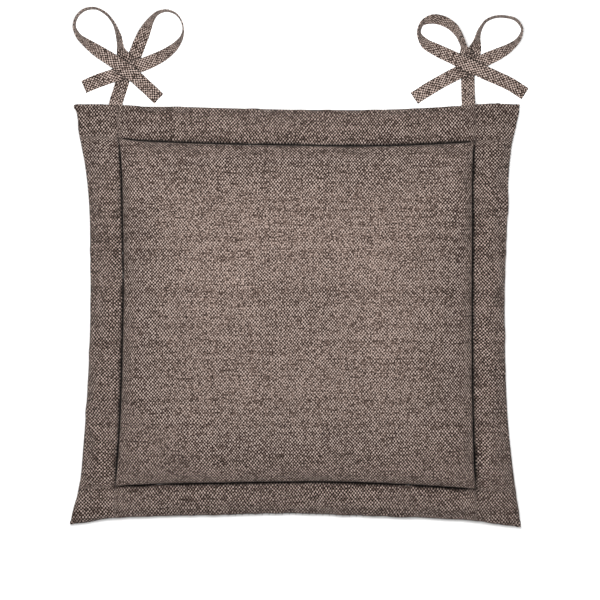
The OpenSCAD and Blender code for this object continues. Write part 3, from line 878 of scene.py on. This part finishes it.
def woven(name, on_cloth, brightness, contrast, melange=1.0):
    """Plain weave of melange yarns. Every yarn has its own shade, slubs and flecks.

    The weave lies on the piece's 'weave' places when it has them, else on its own axes. Where a
    piece has a 'shade' attribute, that painted shade darkens the colour.
    """
    n = Nodes(name)
    if on_cloth:
        place = n.add("ShaderNodeAttribute", attribute_name="weave").outputs["Vector"]
    else:
        place = n.add("ShaderNodeTexCoord").outputs["Object"]
    split = n.add("ShaderNodeSeparateXYZ")
    n.plug(split.inputs[0], place)
    x, y = split.outputs[0], split.outputs[1]
    drift_x = n.noise(place, 26.0, 1.5)
    drift_x = n.math("MULTIPLY", n.math("SUBTRACT", drift_x, 0.5), DRIFT)
    drift_y = n.noise(n.join(y, x, 0.3), 26.0, 1.5)
    drift_y = n.math("MULTIPLY", n.math("SUBTRACT", drift_y, 0.5), DRIFT)
    u = n.math("ADD", n.math("DIVIDE", x, WARP_PITCH), drift_x)
    v = n.math("ADD", n.math("DIVIDE", y, WEFT_PITCH), drift_y)
    i, j = n.math("FLOOR", u), n.math("FLOOR", v)
    fu = n.math("SUBTRACT", n.math("FRACT", u), 0.5)
    fv = n.math("SUBTRACT", n.math("FRACT", v), 0.5)
    total = n.math("ADD", i, j)
    weft_up = n.math("MODULO", n.math("ADD", total, 4000.0), 2.0)
    weft_up = n.math("GREATER_THAN", weft_up, 0.5)

    def spread(value, amount, onto):
        return n.math("MULTIPLY_ADD", n.math("SUBTRACT", value, 0.5), amount, onto)

    def yarn(number, along, salt):
        slow, fast = n.math("MULTIPLY", along, 0.16), n.math("MULTIPLY", along, 0.9)
        slub = n.noise(n.join(n.math("MULTIPLY", number, 7.31), slow, salt), 1.0, 3.0)
        fleck = n.noise(n.join(n.math("MULTIPLY", number, 3.77), fast, salt + 5), 1.0, 1.0)
        tone = spread(n.random(number, salt), YARN_SPREAD, 0.0)
        tone = spread(slub, SLUB_SPREAD, tone)
        return spread(fleck, FLECK_SPREAD, tone)

    def pick(share, a, b):
        return n.math("ADD", n.math("MULTIPLY", share, a),
                      n.math("MULTIPLY", n.math("SUBTRACT", 1.0, share), b))

    warp, weft = yarn(i, v, 1.0), yarn(j, u, 2.0)
    tone = spread(n.random(i, j), CELL_SPREAD, pick(weft_up, weft, warp))
    across = pick(weft_up, fv, fu)
    along = pick(weft_up, fu, fv)
    off_middle = n.math("ABSOLUTE", n.math("MULTIPLY", across, 2.0))
    body = n.math("SUBTRACT", 1.0, n.math("POWER", off_middle, 2.5))
    arch = n.math("COSINE", n.math("MULTIPLY", along, math.pi))
    height = n.math("MULTIPLY", n.math("POWER", n.math("MAXIMUM", body, 0.0), 0.5),
                    n.math("MULTIPLY_ADD", arch, 0.55, 0.45))
    fibre = n.noise(n.join(u, v, 0.0), 1.2, 0.0)
    tone = n.math("MULTIPLY", spread(fibre, FIBRE_SPREAD, tone), melange)
    check = n.math("MULTIPLY_ADD", weft_up, WEFT_TONE - WARP_TONE, WARP_TONE)
    # Painted shade from the 'shade' attribute lowers the tone and strengthens the weave
    if on_cloth:
        shade = n.add("ShaderNodeAttribute", attribute_name="shade").outputs["Fac"]
        shade_depth = n.math("SUBTRACT", 1.0, n.math("MAXIMUM", shade, SHADE_MULTIPLY_BELOW))
        check = n.math("MULTIPLY", check, n.math("MULTIPLY_ADD", shade_depth, SHADE_CONTRAST, 1.0))
        tone = n.math("MULTIPLY_ADD", shade_depth, -SHADE_SHIFT, tone)
    tone = n.math("ADD", tone, check)
    tone = n.math("MULTIPLY_ADD", tone, contrast, MIDDLE_TONE)
    # painted shade in the gaps between the yarns
    relief = n.math("SUBTRACT", height, 0.62)
    tone = n.math("MULTIPLY_ADD", relief, GAP_SHADE, tone, clamp=True)
    colour = n.ramp(tone, YARN_STOPS)
    patch = n.noise(place, 16.0, 3.0)
    level = n.ramp(patch, [(0.25, (0.93 * brightness,) * 3), (0.75, (1.06 * brightness,) * 3)])
    colour = n.multiply(colour, level)
    # Deep painted shade, as in the stitched crease, also darkens the colour itself
    if on_cloth:
        dark = n.math("DIVIDE", shade, SHADE_MULTIPLY_BELOW, clamp=True)
        colour = n.multiply(colour, n.join(dark, dark, dark))
    n.plug(n.shader.inputs["Base Color"], colour)
    n.plug(n.shader.inputs["Roughness"], n.math("MULTIPLY_ADD", height, -0.12, 0.95))
    n.set(Specular_IOR_Level=0.08, Sheen_Weight=0.06, Sheen_Roughness=0.5,
          Sheen_Tint=(0.80, 0.72, 0.66, 1))
    n.bump(height, 0.8, 0.35 * MM)
    return n.material


def thread_material():
    """Spun thread: fine twisted plies on a dark brown."""
    n = Nodes("thread_spun")
    place = n.add("ShaderNodeTexCoord").outputs["Object"]
    ply = n.add("ShaderNodeTexWave", wave_type="BANDS", bands_direction="DIAGONAL")
    n.plug(ply.inputs["Vector"], place)
    ply.inputs["Scale"].default_value = 900.0
    ply.inputs["Distortion"].default_value = 1.5
    browns = [(0.1, (0.010, 0.0065, 0.005)), (0.9, (0.048, 0.034, 0.028))]
    n.plug(n.shader.inputs["Base Color"], n.ramp(ply.outputs["Fac"], browns))
    n.set(Roughness=0.7, Specular_IOR_Level=0.15)
    n.bump(ply.outputs["Fac"], 0.5, 0.1 * MM)
    return n.material


def soft_material(name, low, high, scale, depth, cells):
    """Foam cells or wadding fibres, from a fine cellular or stretched noise."""
    n = Nodes(name)
    place = n.add("ShaderNodeTexCoord").outputs["Object"]
    if cells:
        texture = n.add("ShaderNodeTexVoronoi")
        n.plug(texture.inputs["Vector"], place)
        texture.inputs["Scale"].default_value = scale
        fac = texture.outputs["Distance"]
    else:
        fac = n.noise(place, scale, 6.0)
    n.plug(n.shader.inputs["Base Color"], n.ramp(fac, [(0.2, low), (0.8, high)]))
    n.plug(n.shader.inputs["Roughness"], n.math("MULTIPLY_ADD", fac, 0.1, 0.85))
    n.bump(fac, 0.6, depth)
    return n.material


def dress(piece, material):
    piece.data.materials.clear()
    piece.data.materials.append(material)


def dress_node(node, material):
    """A CAD node keeps its mesh and takes a better material."""
    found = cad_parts[node]
    for piece in found if isinstance(found, (list, tuple)) else [found]:
        for slot in piece.material_slots:
            slot.link = "OBJECT"
            slot.material = material


cover_cloth = woven("linen_look_weave", True, brightness=0.229, contrast=1.1)
tie_cloth = woven("linen_look_tape", True, brightness=0.266, contrast=1.35, melange=1.25)
anchor_cloth = woven("linen_look_fold", False, brightness=0.28, contrast=1.2)
thread = thread_material()
foam = soft_material("foam_cells", (0.60, 0.50, 0.28), (0.86, 0.77, 0.52), 900.0, 0.3 * MM,
                     cells=True)
wadding = soft_material("wadding_fibres", (0.70, 0.69, 0.66), (0.92, 0.91, 0.89), 260.0,
                        0.4 * MM, cells=False)
for cover in (top_cover, low_cover):
    dress(cover, cover_cloth)
for strap, *_ in straps.values():
    dress(strap, tie_cloth)
for piece in (top_stitches, low_stitches, front_stitches):
    dress(piece, thread)
dress(top_filling, wadding)
dress(low_filling, wadding)
dress(foam_slab, foam)
for node, material in (("left_tie_anchor", anchor_cloth), ("right_tie_anchor", anchor_cloth),
                       ("edge_seam_needle_thread", thread), ("edge_seam_bobbin_thread", thread),
                       ("left_tie_bartack", thread), ("right_tie_bartack", thread)):
    dress_node(node, material)

# ---------------------------------------------------------------- strap transforms

for strap, body, (x, y, *_) in straps.values():
    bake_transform(strap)

# ---------------------------------------------------------------- stage


FLOOR_HALF = 3.0
FLOOR_Z = -0.1 * MM


def make_stage():
    n = Nodes("floor_paint")
    grain = n.noise(n.add("ShaderNodeTexCoord").outputs["Object"], 4.0, 2.0)
    pales = [(0.3, (0.90, 0.90, 0.90)), (0.7, (0.92, 0.92, 0.92))]
    n.plug(n.shader.inputs["Base Color"], n.ramp(grain, pales))
    n.set(Roughness=0.9, Specular_IOR_Level=0.1)
    corners = [(a * FLOOR_HALF, b * FLOOR_HALF, FLOOR_Z)
               for a, b in ((-1, -1), (1, -1), (1, 1), (-1, 1))]
    floor = new_object("floor", corners, [(0, 1, 2, 3)])
    dress(floor, n.material)


def area_light(name, size, power, place, target):
    data = bpy.data.lights.new(name, "AREA")
    data.size = size
    data.energy = power
    light = bpy.data.objects.new(name, data)
    bpy.context.collection.objects.link(light)
    light.location = place
    light.rotation_euler = (Vector(target) - Vector(place)).to_track_quat("-Z", "Y").to_euler()


def make_light():
    world = bpy.data.worlds.new("world")
    world.use_nodes = True
    background = world.node_tree.nodes["Background"]
    background.inputs["Color"].default_value = (1, 1, 1, 1)
    background.inputs["Strength"].default_value = 0.70
    bpy.context.scene.world = world
    area_light("soft_box", 0.40, 10.6, (-0.03, 0.14, 0.75), (-0.03, 0.08, 0))


make_stage()
make_light()
bpy.context.scene.view_settings.view_transform = "Standard"
